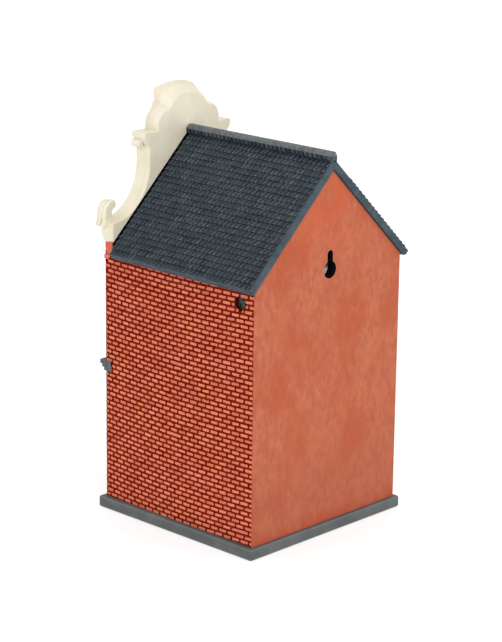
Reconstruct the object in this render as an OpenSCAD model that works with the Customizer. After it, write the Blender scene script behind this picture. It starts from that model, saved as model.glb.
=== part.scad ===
// Nest box in the form of a brick canal house with a neck gable.
// The front faces -Y and the hanging side faces +Y. The origin is on the ground,
// under the middle of the brick body. All sizes are in millimetres.

/* [Body] */
// Width of the brick body across the front
body_w = 141.6; // [118:0.2:172]
// Depth of the brick body from front to back
body_d = 141.0; // [118:0.2:172]
// Height of the side walls' outer faces above the base plate
eave_h = 176; // [160:0.2:215]
// Thickness of the side walls and the back wall
wall_t = 6; // [4.5:0.1:8]
// Thickness of the front wall and of the gable panel above it
front_t = 7.2; // [6:0.1:10]
// How far the front wall rises past the side walls before the gable panel starts
front_rise = 6.5; // [4:0.1:8]

/* [Base plate] */
// Thickness of the base plate
base_h = 8; // [5:0.1:12]
// How far the base plate stands out beyond each side wall
base_side = 4.3; // [3:0.1:7]
// How far the base plate stands out beyond the back wall
base_back = 2.6; // [2:0.1:6]
// How far the base plate stands out beyond the front wall
base_front = 4; // [3.5:0.1:8]
// Radius of the base plate's upright corners
base_corner_r = 1.5; // [0.5:0.1:4]

/* [Roof] */
// Pitch of both roof slopes, in degrees
roof_pitch = 43.8; // [36:0.5:50]
// Thickness of the roof slabs, square to the slope
roof_t = 3.9; // [3:0.1:6]
// How far the soffit runs out past each side wall
eave_out = 3.3; // [1.5:0.1:6]
// How far the roof runs out past the back wall
verge_out = 2.1; // [1.5:0.1:6]
// Height of the smooth borders above the roof slabs
trim_t = 1.15; // [0.6:0.05:2]
// Width of the smooth border along the back edge
verge_w = 3; // [2:0.1:6]
// Width of the smooth border along the eaves
eave_w = 1.6; // [1:0.1:4]
// Width of the ridge cap
ridge_w = 4.4; // [3.6:0.1:7]
// Height of the ridge cap above the point where the slopes meet
ridge_rise = 5.5; // [4:0.1:8]
// Bevel along the ridge cap's upper edges
ridge_bevel = 1.2; // [0.4:0.1:1.6]

/* [Openings] */
// Diameter of the entrance hole
entrance_d = 32; // [25:0.5:39]
// Height of the entrance hole's centre above the base plate
entrance_z = 142; // [130:0.5:150]
// Width of the ring round the entrance hole
entrance_ring_w = 3.2; // [2:0.1:4]
// How far that ring stands out in front of the front wall
entrance_ring_t = 2; // [1:0.1:3]
// Diameter of the air hole in each side wall
vent_d = 10; // [6:0.1:12]
// Distance from the back of the body to the air holes' centres
vent_back = 13.3; // [12:0.1:24]
// Distance from the top of the side walls down to the air holes' centres
vent_drop = 12.1; // [10:0.1:24]

/* [Keyhole] */
// Diameter of the keyhole's round opening
key_head_d = 12; // [9:0.1:14.5]
// Width of the keyhole's slot
key_slot_w = 5.4; // [4.4:0.1:6.6]
// Distance from the round opening's centre to the top of the slot
key_slot_l = 13.2; // [11:0.1:16]
// Distance from the round opening's centre up to the soffit's peak
key_drop = 67.5; // [40:0.5:90]
// Depth of the closed pocket behind the keyhole, which holds the screw's head
pocket_depth = 2; // [1.5:0.1:4]
// Thickness of the pocket's shell
pocket_t = 1.2; // [0.8:0.1:2]
// Clearance of the pocket round the keyhole's round opening
pocket_clear = 0.4; // [0.2:0.1:0.8]

/* [Gable] */
// Half the width of the gable's neck
neck_half = 36.3; // [30:0.1:44]
// Distance of the neck's foot below the slopes' meeting point
neck_drop = 17.5; // [12:0.1:24]
// Distance from the front wall's top up to the low end of the sweep
sweep_rise = 13.4; // [11:0.1:16]
// Height of the shoulder cornices above the slopes' meeting point
shoulder_rise = 4; // [2:0.1:8]
// Height of the shoulder cornices
shoulder_h = 7.6; // [5:0.1:10]
// How far the shoulder cornices stand out beyond the neck
shoulder_out = 5.2; // [3:0.1:8]
// How far the mouldings stand out in front of the front wall
moulding_out = 6; // [4:0.1:8]
// Width of the mouldings along the neck and the sweeps
moulding_w = 3; // [2:0.1:5]
// Radius of the round shoulders of the pediment
bulge_r = 9.8; // [8:0.1:11.5]
// Distance of those round shoulders' centres from the middle
bulge_x = 19.4; // [16.5:0.1:22]
// Radius of the pediment's dome
dome_r = 23; // [20:0.1:26]
// Height of the dome above the shoulder cornices
dome_rise = 24; // [20:0.1:28]
// Height of the crest above the dome
crest_rise = 7; // [4:0.1:10]
// Half the width of the crest
crest_half = 20.2; // [17:0.1:24.5]
// Height of the round shoulders' centres above the shoulder cornices
bulge_lift = 3.4; // [2:0.1:5]
// Radius of the ears at the crest's ends
ear_r = 2.6; // [1.6:0.1:3.4]
// Distance from the crest's top down to the tops of its ears
ear_drop = 3; // [1.5:0.1:5]
// Radius of the scrolls at the gable's feet
scroll_r = 8.4; // [7:0.1:9.5]
// Distance of the scrolls' centres in from the body's sides
scroll_in = 3.4; // [2:0.1:5]
// Height of the scrolls' centres above the low ends of the sweeps
scroll_lift = 4.6; // [3.5:0.1:6]
// Bevel along the shoulder cornices' upper edges
cornice_bevel = 0.8; // [0.3:0.1:1.5]
// Thickness of the brick facing on the front of the neck
facing_t = 1.5; // [1:0.1:2.5]

/* [Front] */
// Height of the string course's underside above the base plate
course_z = 91.8; // [88:0.1:96]
// Height of the string course
course_h = 7.6; // [5:0.1:10]
// How far the string course stands out in front of the front wall
course_out = 5; // [3:0.1:6]
// How far the string course's returns stand out beside the side walls
course_side = 1.2; // [0.8:0.1:3]
// Length of the string course's returns along the side walls
course_return = 6; // [3:0.1:8]
// Width of the windows, inside their recesses
window_w = 25; // [20:0.1:27]
// Height of the ground-floor windows
ground_window_h = 40; // [32:0.1:44]
// Height of the upper windows
upper_window_h = 42; // [34:0.1:46]
// Height of the ground-floor sills' tops above the base plate
ground_sill_z = 32; // [28:0.1:36]
// Height of the upper sills' tops above the base plate
upper_sill_z = 117; // [112:0.1:122]
// Depth of the window and door recesses in the front wall
recess = 2.6; // [2:0.1:4]
// Thickness of the panes
pane_t = 0.8; // [0.5:0.1:1.2]
// Width of the window and door frames
frame_w = 2.4; // [1.6:0.1:3.2]
// How far the frames stand out in front of the front wall
frame_out = 0.8; // [0.4:0.1:1.5]
// Depth of the sills in front of the front wall
sill_out = 2.6; // [1.5:0.1:3.5]
// Height of the sills
sill_h = 2.4; // [1.6:0.1:3.2]
// How far a sill runs past its window on each side
sill_past = 2; // [1:0.1:3]
// Width of the attic window in the neck
attic_w = 18; // [14:0.1:22]
// Height of the attic window
attic_h = 24; // [19:0.1:29]
// Distance of the attic window's middle below the neck's foot
attic_drop = 6; // [3:0.1:9]
// Width of the door's opening
door_w = 25; // [20:0.1:28]
// Height of the door's opening, with its fanlight
door_h = 68; // [60:0.1:76]
// Height of the fanlight over the door
fanlight_h = 13; // [10:0.1:16]
// Thickness of the door
door_t = 1.4; // [0.8:0.1:1.8]
// Height of the door's step
step_h = 4; // [3:0.1:6]
// How far the step stays back from the base plate's front edge
step_back = 0.5; // [0.3:0.1:1.5]

/* [Hidden] */
$fn = 48;

brick = "#d9785c";
slate = "#3f4c57";
cream = "#efe7d2";
grey = "#6b6d6e";
pocket_grey = "#a8b4b8";
pane_blue = "#2b3138";
door_green = "#2f4a3c";

// How far cutting shapes run past the faces they cut
past = 1;
// Points along a quarter turn of a curved outline
arc_steps = 14;
// Distance from the middle of the outer bays in to the body's sides
bay_in = 28;
// Radius of the scrolls' curls and notches, as a share of the scrolls' radius
curl_share = 0.3;
// How far the crest's ends run round the round shoulders
crest_lap = 0.4;
// Radius of the crest's upper edge, as a share of half its width
crest_curve = 1.6;

half_w = body_w / 2;
half_d = body_d / 2;
back_y = half_d;
front_y = -half_d;
inner_front_y = front_y + front_t;
slope = tan(roof_pitch);
soffit_peak = base_h + eave_h + half_w * slope;
roof_peak = soffit_peak + roof_t / cos(roof_pitch);
border_peak = roof_peak + trim_t / cos(roof_pitch);
eave_run = (half_w + eave_out) / cos(roof_pitch);
front_top = base_h + eave_h + front_rise;
ridge_top = roof_peak + ridge_rise;
moulding_y = front_y - moulding_out;

shoulder_top = border_peak + shoulder_rise - trim_t;
neck_foot = border_peak - neck_drop;
sweep_low = front_top + sweep_rise;
dome_z = shoulder_top + dome_rise - dome_r;
bulge_z = shoulder_top + bulge_lift;
crest_top = shoulder_top + dome_rise + crest_rise;
attic_z = neck_foot - attic_drop - attic_h / 2;
scroll_x = half_w - scroll_in;
scroll_z = sweep_low + scroll_lift;

key_z = soffit_peak - key_drop;
vent_y = back_y - vent_back;
vent_z = base_h + eave_h - vent_drop;

// The ground floor's three bays share the body's width
bay_x = half_w - bay_in;
door_x = bay_x;

// Turns an outline drawn in X and Z into a slab that runs from y0 to y1
module slab_y(y0, y1) {
    translate([0, y1, 0])
        rotate([90, 0, 0])
            linear_extrude(height = y1 - y0)
                children();
}

module box(x0, x1, y0, y1, z0, z1) {
    translate([x0, y0, z0])
        cube([x1 - x0, y1 - y0, z1 - z0]);
}

module on_left() {
    mirror([1, 0, 0])
        children();
}

// Height of the soffit above the point x
function soffit(x) = soffit_peak - abs(x) * slope;

// ---- Base plate ----

// A rectangle from x0 to x1 and y0 to y1 with round corners
module rounded_rectangle(x0, x1, y0, y1, r) {
    translate([x0 + r, y0])
        square([x1 - x0 - 2 * r, y1 - y0]);
    translate([x0, y0 + r])
        square([x1 - x0, y1 - y0 - 2 * r]);
    for (x = [x0 + r, x1 - r])
        for (y = [y0 + r, y1 - r])
            translate([x, y])
                circle(r = r);
}

module base_plate() {
    color(grey)
        linear_extrude(height = base_h)
            rounded_rectangle(
                -half_w - base_side, half_w + base_side,
                front_y - base_front, back_y + base_back,
                base_corner_r
            );
}

// ---- Walls ----

module keyhole_outline() {
    circle(d = key_head_d);
    translate([0, key_slot_l - key_slot_w / 2])
        circle(d = key_slot_w);
    translate([-key_slot_w / 2, 0])
        square([key_slot_w, key_slot_l - key_slot_w / 2]);
}

module back_wall() {
    color(brick)
        difference() {
            slab_y(back_y - wall_t, back_y)
                polygon([
                    [-half_w, base_h],
                    [half_w, base_h],
                    [half_w, base_h + eave_h],
                    [0, soffit_peak],
                    [-half_w, base_h + eave_h]
                ]);
            translate([0, 0, key_z])
                slab_y(back_y - wall_t - past, back_y + past)
                    keyhole_outline();
        }
}

module side_wall_right() {
    color(brick)
        difference() {
            slab_y(inner_front_y, back_y - wall_t)
                polygon([
                    [half_w - wall_t, base_h],
                    [half_w, base_h],
                    [half_w, base_h + eave_h],
                    [half_w - wall_t, soffit(half_w - wall_t)]
                ]);
            translate([half_w - wall_t - past, vent_y, vent_z])
                rotate([0, 90, 0])
                    cylinder(d = vent_d, h = wall_t + 2 * past);
        }
}

module side_wall_left() {
    on_left() side_wall_right();
}

module front_wall() {
    color(brick)
        difference() {
            box(-half_w, half_w, front_y, inner_front_y, base_h, front_top);
            translate([0, inner_front_y + past, base_h + entrance_z])
                rotate([90, 0, 0])
                    cylinder(d = entrance_d, h = front_t + 2 * past);
            for (x = [-bay_x, 0])
                window_recess(x, base_h + ground_sill_z, window_w, ground_window_h);
            for (x = [-bay_x, bay_x])
                window_recess(x, base_h + upper_sill_z, window_w, upper_window_h);
            window_recess(door_x, base_h, door_w, door_h);
        }
}

module window_recess(x, z, w, h) {
    box(x - w / 2, x + w / 2, front_y - facing_t - past, front_y + recess, z, z + h);
}

// Outline of the pocket, as wide as the keyhole's round opening all the way up
module pocket_outline(margin) {
    r = key_head_d / 2 + pocket_clear + margin;
    rise = key_slot_l - key_slot_w / 2;
    circle(r = r);
    translate([0, rise])
        circle(r = r);
    translate([-r, 0])
        square([2 * r, rise]);
}

module keyhole_pocket() {
    wall_y = back_y - wall_t;
    color(pocket_grey)
        translate([0, 0, key_z])
            difference() {
                slab_y(wall_y - pocket_depth - pocket_t, wall_y)
                    pocket_outline(pocket_t);
                slab_y(wall_y - pocket_depth, wall_y + past)
                    pocket_outline(0);
            }
}

// ---- Roof ----

// Outline of a layer on the right slope that lies between the heights low and high above the
// soffit. It runs from the upright line at x0 down to the eave.
module slope_layer(low, high, x0) {
    translate([0, soffit_peak])
        rotate(-roof_pitch)
            polygon([
                [x0 / cos(roof_pitch) - low * slope, low],
                [eave_run, low],
                [eave_run, high],
                [x0 / cos(roof_pitch) - high * slope, high]
            ]);
}

module roof_slope_right() {
    color(slate)
        slab_y(inner_front_y, back_y + verge_out)
            slope_layer(0, roof_t, 0);
}

module roof_slope_left() {
    on_left() roof_slope_right();
}

module verge_border_right() {
    color(slate)
        slab_y(back_y + verge_out - verge_w, back_y + verge_out)
            slope_layer(roof_t, roof_t + trim_t, ridge_w / 2);
}

module verge_border_left() {
    on_left() verge_border_right();
}

module eave_border_right() {
    color(slate)
        slab_y(inner_front_y, back_y + verge_out - verge_w)
            translate([0, soffit_peak])
                rotate(-roof_pitch)
                    translate([eave_run - eave_w, roof_t])
                        square([eave_w, trim_t]);
}

module eave_border_left() {
    on_left() eave_border_right();
}

module ridge_cap() {
    half = ridge_w / 2;
    foot = roof_peak - half * slope;
    color(grey)
        slab_y(inner_front_y, back_y + verge_out)
            polygon([
                [-half, foot],
                [0, roof_peak],
                [half, foot],
                [half, ridge_top - ridge_bevel],
                [half - ridge_bevel, ridge_top],
                [ridge_bevel - half, ridge_top],
                [-half, ridge_top - ridge_bevel]
            ]);
}

// ---- Gable ----

function sweep_point(t) = [
    half_w - (half_w - neck_half) * sin(t),
    neck_foot - (neck_foot - sweep_low) * cos(t)
];

sweep_curve = [for (i = [0 : arc_steps]) sweep_point(90 * i / arc_steps)];
sweep_inner = [
    for (i = [0 : arc_steps])
        sweep_point(90 * i / arc_steps) - moulding_w * [sin(90 * i / arc_steps), cos(90 * i / arc_steps)]
];

module gable_panel() {
    color(cream)
        difference() {
            slab_y(front_y, inner_front_y)
                polygon(concat(
                    [[half_w, front_top]],
                    sweep_curve,
                    [[neck_half, shoulder_top], [-neck_half, shoulder_top]],
                    [for (i = [arc_steps : -1 : 0]) [-sweep_curve[i][0], sweep_curve[i][1]]],
                    [[-half_w, front_top]]
                ));
            window_recess(0, attic_z, attic_w, attic_h);
        }
}

module neck_facing() {
    half = neck_half - moulding_w;
    color(brick)
        difference() {
            box(-half, half, front_y - facing_t, front_y, front_top, shoulder_top - shoulder_h);
            window_recess(0, attic_z, attic_w, attic_h);
        }
}

// Outline of the right scroll without its notch
module scroll_body() {
    translate([scroll_x, scroll_z])
        circle(r = scroll_r);
    translate([scroll_x - scroll_r * 0.8, scroll_z + scroll_r * 0.55])
        circle(r = scroll_r * curl_share);
    polygon([
        [scroll_x - scroll_r * 0.5, front_top],
        [half_w, front_top],
        [scroll_x + scroll_r, scroll_z],
        [scroll_x - scroll_r * 0.9, scroll_z - scroll_r * 0.5]
    ]);
}

module sweep_moulding_right() {
    color(cream)
        slab_y(moulding_y, front_y)
            difference() {
                polygon(concat(
                    [[neck_half - moulding_w, shoulder_top - shoulder_h]],
                    [[neck_half, shoulder_top - shoulder_h]],
                    [for (i = [arc_steps : -1 : 0]) sweep_curve[i]],
                    sweep_inner
                ));
                scroll_body();
            }
}

module sweep_moulding_left() {
    on_left() sweep_moulding_right();
}

module gable_scroll_right() {
    color(cream)
        slab_y(moulding_y, front_y)
            difference() {
                scroll_body();
                translate([scroll_x - scroll_r * 0.85, scroll_z])
                    circle(r = scroll_r * curl_share);
            }
}

module gable_scroll_left() {
    on_left() gable_scroll_right();
}

module shoulder_cornice_right() {
    low = shoulder_top - shoulder_h;
    color(cream)
        slab_y(moulding_y, inner_front_y)
            polygon([
                [neck_half, low],
                [neck_half + shoulder_out * 0.5, low],
                [neck_half + shoulder_out, low + shoulder_h * 0.45],
                [neck_half + shoulder_out, shoulder_top - cornice_bevel],
                [neck_half + shoulder_out - cornice_bevel, shoulder_top],
                [neck_half, shoulder_top]
            ]);
}

module shoulder_cornice_left() {
    on_left() shoulder_cornice_right();
}

module gable_cornice() {
    low = shoulder_top - shoulder_h;
    color(cream)
        translate([-neck_half, 0, 0])
            rotate([90, 0, 90])
                linear_extrude(height = 2 * neck_half)
                    polygon([
                        [front_y, low],
                        [front_y - moulding_out * 0.4, low],
                        [moulding_y, low + shoulder_h * 0.5],
                        [moulding_y, shoulder_top],
                        [front_y, shoulder_top]
                    ]);
}

module above_shoulders() {
    intersection() {
        children();
        translate([-half_w, shoulder_top])
            square([body_w, 2 * dome_rise]);
    }
}

module pediment() {
    color(cream)
        slab_y(front_y, inner_front_y)
            above_shoulders() {
                union() {
                    translate([0, dome_z])
                        circle(r = dome_r);
                    for (side = [-1, 1])
                        translate([side * bulge_x, bulge_z])
                            circle(r = bulge_r);
                }
            }
}

module pediment_crest() {
    crest_r = crest_half * crest_curve;
    color(cream)
        slab_y(moulding_y, front_y)
            above_shoulders() {
                union() {
                    intersection() {
                        translate([0, crest_top - crest_r])
                            circle(r = crest_r);
                        translate([-crest_half, shoulder_top])
                            square([2 * crest_half, crest_top - shoulder_top]);
                    }
                    for (side = [-1, 1]) {
                        translate([side * (crest_half - ear_r), crest_top - ear_drop - ear_r])
                            circle(r = ear_r);
                        translate([side * bulge_x, bulge_z])
                            circle(r = bulge_r + crest_lap);
                    }
                }
            }
}

// ---- Front ----

// The string course steps out in three layers, given as [foot, head, reach] shares of its full size
course_layers = [[0, 0.3, 0.4], [0.3, 0.6, 0.7], [0.6, 1, 1]];

module string_course() {
    color(grey)
        translate([0, 0, base_h + course_z])
            difference() {
                for (layer = course_layers)
                    box(
                        -half_w - course_side * layer[2], half_w + course_side * layer[2],
                        front_y - course_out * layer[2], front_y + course_return,
                        course_h * layer[0], course_h * layer[1]
                    );
                box(-half_w, half_w, front_y, front_y + course_return + past, -past, course_h + past);
            }
}

module entrance_ring() {
    outer_d = entrance_d + 2 * entrance_ring_w;
    color(cream)
        translate([0, front_y, base_h + entrance_z])
            rotate([90, 0, 0])
                difference() {
                    cylinder(d = outer_d, h = entrance_ring_t);
                    translate([0, 0, -past])
                        cylinder(d = entrance_d, h = entrance_ring_t + 2 * past);
                }
}

module opening_frame(x, z, w, h, foot) {
    color(cream)
        difference() {
            box(x - w / 2, x + w / 2, front_y - frame_out, front_y + recess, z, z + h);
            box(
                x - w / 2 + frame_w, x + w / 2 - frame_w,
                front_y - frame_out - past, front_y + recess + past,
                z + foot, z + h - frame_w
            );
        }
}

module pane(x, z, w, h, foot) {
    color(pane_blue)
        box(
            x - w / 2 + frame_w, x + w / 2 - frame_w,
            front_y + recess - pane_t, front_y + recess,
            z + foot, z + h - frame_w
        );
}

module sill(x, z, w) {
    color(grey)
        box(x - w / 2 - sill_past, x + w / 2 + sill_past, front_y - sill_out, front_y, z - sill_h, z);
}

module door_frame() {
    opening_frame(door_x, base_h, door_w, door_h, -past);
}

module front_door() {
    color(door_green)
        box(
            door_x - door_w / 2 + frame_w, door_x + door_w / 2 - frame_w,
            front_y + recess - door_t, front_y + recess,
            base_h, base_h + door_h - fanlight_h - frame_w
        );
}

module fanlight() {
    pane(door_x, base_h + door_h - fanlight_h - frame_w, door_w, fanlight_h + frame_w, 0);
}

module door_step() {
    color(grey)
        box(
            door_x - door_w / 2 - sill_past, door_x + door_w / 2 + sill_past,
            front_y - base_front + step_back, front_y - frame_out,
            base_h, base_h + step_h
        );
}

module ground_frame_right() { opening_frame(0, base_h + ground_sill_z, window_w, ground_window_h, frame_w); }
module ground_frame_left() { opening_frame(-bay_x, base_h + ground_sill_z, window_w, ground_window_h, frame_w); }
module ground_pane_right() { pane(0, base_h + ground_sill_z, window_w, ground_window_h, frame_w); }
module ground_pane_left() { pane(-bay_x, base_h + ground_sill_z, window_w, ground_window_h, frame_w); }
module ground_sill_right() { sill(0, base_h + ground_sill_z, window_w); }
module ground_sill_left() { sill(-bay_x, base_h + ground_sill_z, window_w); }
module upper_frame_right() { opening_frame(bay_x, base_h + upper_sill_z, window_w, upper_window_h, frame_w); }
module upper_frame_left() { opening_frame(-bay_x, base_h + upper_sill_z, window_w, upper_window_h, frame_w); }
module upper_pane_right() { pane(bay_x, base_h + upper_sill_z, window_w, upper_window_h, frame_w); }
module upper_pane_left() { pane(-bay_x, base_h + upper_sill_z, window_w, upper_window_h, frame_w); }
module upper_sill_right() { sill(bay_x, base_h + upper_sill_z, window_w); }
module upper_sill_left() { sill(-bay_x, base_h + upper_sill_z, window_w); }

module attic_frame() {
    color(cream)
        difference() {
            box(
                -attic_w / 2, attic_w / 2,
                front_y - facing_t - frame_out, front_y + recess,
                attic_z, attic_z + attic_h
            );
            box(
                -attic_w / 2 + frame_w, attic_w / 2 - frame_w,
                front_y - facing_t - frame_out - past, front_y + recess + past,
                attic_z + frame_w, attic_z + attic_h - frame_w
            );
        }
}

module attic_pane() {
    pane(0, attic_z, attic_w, attic_h, frame_w);
}

module attic_sill() {
    color(grey)
        box(
            -attic_w / 2 - sill_past, attic_w / 2 + sill_past,
            front_y - facing_t - sill_out, front_y - facing_t,
            attic_z - sill_h, attic_z
        );
}

base_plate();
back_wall();
side_wall_right();
side_wall_left();
front_wall();
keyhole_pocket();
roof_slope_right();
roof_slope_left();
verge_border_right();
verge_border_left();
eave_border_right();
eave_border_left();
ridge_cap();
gable_panel();
neck_facing();
sweep_moulding_right();
sweep_moulding_left();
gable_scroll_right();
gable_scroll_left();
shoulder_cornice_right();
shoulder_cornice_left();
gable_cornice();
pediment();
pediment_crest();
string_course();
entrance_ring();
door_frame();
front_door();
fanlight();
door_step();
ground_frame_right();
ground_frame_left();
ground_pane_right();
ground_pane_left();
ground_sill_right();
ground_sill_left();
upper_frame_right();
upper_frame_left();
upper_pane_right();
upper_pane_left();
upper_sill_right();
upper_sill_left();
attic_frame();
attic_pane();
attic_sill();
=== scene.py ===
import math
import random

import bmesh
import bpy
from mathutils import Matrix, Vector, noise


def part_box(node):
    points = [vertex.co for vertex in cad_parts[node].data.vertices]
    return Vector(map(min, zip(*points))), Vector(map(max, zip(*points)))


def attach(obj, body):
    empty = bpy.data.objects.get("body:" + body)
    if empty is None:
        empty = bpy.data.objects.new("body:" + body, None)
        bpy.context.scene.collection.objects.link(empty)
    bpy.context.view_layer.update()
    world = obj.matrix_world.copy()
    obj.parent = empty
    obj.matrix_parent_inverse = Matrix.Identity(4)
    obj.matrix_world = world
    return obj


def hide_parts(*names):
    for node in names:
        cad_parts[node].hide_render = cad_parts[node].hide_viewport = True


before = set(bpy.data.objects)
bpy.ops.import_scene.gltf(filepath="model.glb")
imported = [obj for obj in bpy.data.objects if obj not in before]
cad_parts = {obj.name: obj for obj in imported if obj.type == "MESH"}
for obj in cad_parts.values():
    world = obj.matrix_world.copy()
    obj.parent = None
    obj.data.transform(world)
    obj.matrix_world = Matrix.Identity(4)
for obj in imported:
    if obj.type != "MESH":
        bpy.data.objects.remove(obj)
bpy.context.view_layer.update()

# The looks of a nest box in the form of a brick canal house. Sizes are in millimetres and
# become metres where a mesh is made. The front faces -Y and the back wall faces +Y. What the
# house has on both sides is made for side 1, the right at +X, and for side -1, the left.

MM = 0.001
SIDES = ((1, "right"), (-1, "left"))


# ---- Places that the frame gives ----

def cad(node):
    """Lowest and highest corner of a CAD node, in millimetres."""
    low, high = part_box(node)
    return low / MM, high / MM


def cad_mesh(node):
    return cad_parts[node].data


def cad_points(node):
    """The points of a CAD node, in millimetres."""
    return [vert.co / MM for vert in cad_mesh(node).vertices]


wall_low, wall_high = cad("front_wall")
side_low, side_high = cad("side_wall_right")
verge_low, verge_high = cad("verge_border_right")
eave_low, eave_high = cad("eave_border_right")
string_low, string_high = cad("string_course")
ledge_low, ledge_high = cad("shoulder_cornice_right")
facing_low, facing_high = cad("neck_facing")
back_high = cad("back_wall")[1]
slope_high = cad("roof_slope_right")[1]
ridge_high = cad("ridge_cap")[1]
crest_high = cad("pediment_crest")[1]
pocket_low = cad("keyhole_pocket")[0]

HALF_W = wall_high.x
FRONT_Y = wall_low.y
PANEL_BACK_Y = wall_high.y
BACK_Y = back_high.y
BASE_Z = wall_low.z
FRONT_TOP = wall_high.z

SOFFIT_PEAK = back_high.z
SLOPE = (SOFFIT_PEAK - side_high.z) / side_low.x
SOFFIT_AT_WALL = SOFFIT_PEAK - HALF_W * SLOPE
PITCH = math.atan(SLOPE)
DECK_T = (slope_high.z - SOFFIT_PEAK) * math.cos(PITCH)
TRIM_T = (verge_high.x - slope_high.x) / math.sin(PITCH)
EAVE_RUN = (slope_high.x - DECK_T * math.sin(PITCH)) / math.cos(PITCH)
EAVE_TRIM_W = (eave_high.x - eave_low.x - TRIM_T * math.sin(PITCH)) / math.cos(PITCH)
ROOF_END_Y = verge_high.y
VERGE_W = verge_high.y - verge_low.y

NECK = ledge_low.x
SHOULDER_TOP = ledge_high.z
MOULDING_Y = ledge_low.y
gable_points = cad_points("gable_panel")
SWEEP_LOW = max(p.z for p in gable_points if p.x > HALF_W - 0.01)
NECK_FOOT = min(p.z for p in gable_points if abs(p.x - NECK) < 0.01)


def vent_place():
    """Centre and radius of the air hole in a side wall, seen along Y and Z."""
    rim = [Vector((p.y, p.z)) for p in cad_points("side_wall_right")
           if side_low.y + 1 < p.y < side_high.y - 1 and p.x > side_high.x - 0.01]
    low = Vector((min(p.x for p in rim), min(p.y for p in rim)))
    high = Vector((max(p.x for p in rim), max(p.y for p in rim)))
    return (low + high) / 2, (high.x - low.x) / 2


VENT, VENT_R = vent_place()


# ---- Materials ----

class Paint:
    """A Principled material with the colour built up on it so far, and short ways to add nodes.

    Its height, tone and wash come from the mesh, where Sculpt puts them. Lengths are in
    millimetres, and colours are sRGB values from 0 to 255."""

    def __init__(self, name, roughness, specular=0.4):
        self.material = bpy.data.materials.new(name)
        self.material.use_nodes = True
        self.tree = self.material.node_tree
        self.shader = self.tree.nodes["Principled BSDF"]
        self.shader.inputs["Roughness"].default_value = roughness
        self.shader.inputs["Specular IOR Level"].default_value = specular
        self.place = self.node("ShaderNodeTexCoord").outputs["Object"]
        paint = self.node("ShaderNodeAttribute")
        paint.attribute_name = "paint"
        parts = self.node("ShaderNodeSeparateXYZ", Vector=paint.outputs["Vector"])
        self.height, self.tone, self.wash = parts.outputs
        self.body = None

    def node(self, kind, **inputs):
        made = self.tree.nodes.new(kind)
        for name, value in inputs.items():
            self.put(made.inputs[name], value)
        return made

    def put(self, socket, value):
        if isinstance(value, bpy.types.NodeSocket):
            self.tree.links.new(value, socket)
        else:
            socket.default_value = value

    def along(self, axis):
        """The place along an axis."""
        parts = self.node("ShaderNodeSeparateXYZ", Vector=self.place)
        return self.sums("MULTIPLY", parts.outputs[axis], 1 / MM)

    def noise(self, size, detail=3, stretch=(1, 1, 1), shift=0):
        """Noise with lumps about size across, made longer by stretch along X, Y and Z."""
        scaled = self.node("ShaderNodeMapping", Vector=self.place)
        scaled.inputs["Scale"].default_value = [1 / (size * MM * s) for s in stretch]
        scaled.inputs["Location"].default_value = (shift, shift, shift)
        made = self.node("ShaderNodeTexNoise", Vector=scaled.outputs[0], Scale=1.0, Detail=detail)
        return made.outputs["Fac"]

    def span(self, value, low, high, to_low=0.0, to_high=1.0):
        """Stretches the values between low and high over to_low to to_high."""
        made = self.tree.nodes.new("ShaderNodeMapRange")
        made.interpolation_type = "SMOOTHSTEP"
        for name, number in zip(("Value", "From Min", "From Max", "To Min", "To Max"),
                                (value, low, high, to_low, to_high)):
            self.put(made.inputs[name], number)
        return made.outputs[0]

    def patches(self, size, detail=4, low=0.35, high=0.65, stretch=(1, 1, 1), shift=0):
        """Soft patches of noise: 0 where it is under low and 1 where it is over high."""
        return self.span(self.noise(size, detail, stretch, shift), low, high)

    def sums(self, kind, a, b):
        made = self.tree.nodes.new("ShaderNodeMath")
        made.operation = kind
        self.put(made.inputs[0], a)
        self.put(made.inputs[1], b)
        return made.outputs[0]

    def plus(self, a, b, times):
        """a and so many times b."""
        return self.sums("ADD", a, self.sums("MULTIPLY", b, times))

    def mix(self, share, a, b):
        """Colour a where share is 0 and b where it is 1."""
        made = self.tree.nodes.new("ShaderNodeMix")
        made.data_type = "RGBA"
        self.put(made.inputs[0], share)
        for socket, value in ((made.inputs[6], a), (made.inputs[7], b)):
            self.put(socket, value if isinstance(value, bpy.types.NodeSocket) else linear(value))
        return made.outputs[2]

    def coat(self, share, a, b):
        """Makes the body colour, a where share is 0 and b where it is 1."""
        self.body = self.mix(share, a, b)

    def over(self, colour, share, strength=1.0):
        """Lays a colour over the body colour."""
        self.body = self.mix(self.sums("MULTIPLY", share, strength), self.body, colour)

    def bump(self, height, depth):
        """Relief of so much depth between the heights 0 and 1. More than one call adds up."""
        made = self.node("ShaderNodeBump", Height=height, Distance=depth * MM)
        normal = self.shader.inputs["Normal"]
        if normal.links:
            self.put(made.inputs["Normal"], normal.links[0].from_socket)
        self.put(normal, made.outputs[0])

    def roughness(self, drift, low, high):
        """Lets the roughness follow a noise from low to high."""
        self.put(self.shader.inputs["Roughness"], self.span(drift, 0.3, 0.7, low, high))

    def finish(self):
        self.put(self.shader.inputs["Base Color"], self.body)
        return self.material


def linear(colour):
    """An sRGB colour from 0 to 255 as the linear colour that a node takes."""
    parts = [c / 255 for c in colour]
    return [c / 12.92 if c <= 0.04045 else ((c + 0.055) / 1.055) ** 2.4 for c in parts] + [1.0]


JOINT_RED = (109, 18, 0)
# The near black of the tiles' painted shade.
TILE_HOLLOW_SHADE = (13, 17, 23)
UPRIGHT = (1, 1, 1.5)
PAINT_REACH = HALF_W - 3.2
# Height above the pocket's foot where its bottom is least darkened by painted shadow.
POCKET_LIT_MIDDLE = 4.0


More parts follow.
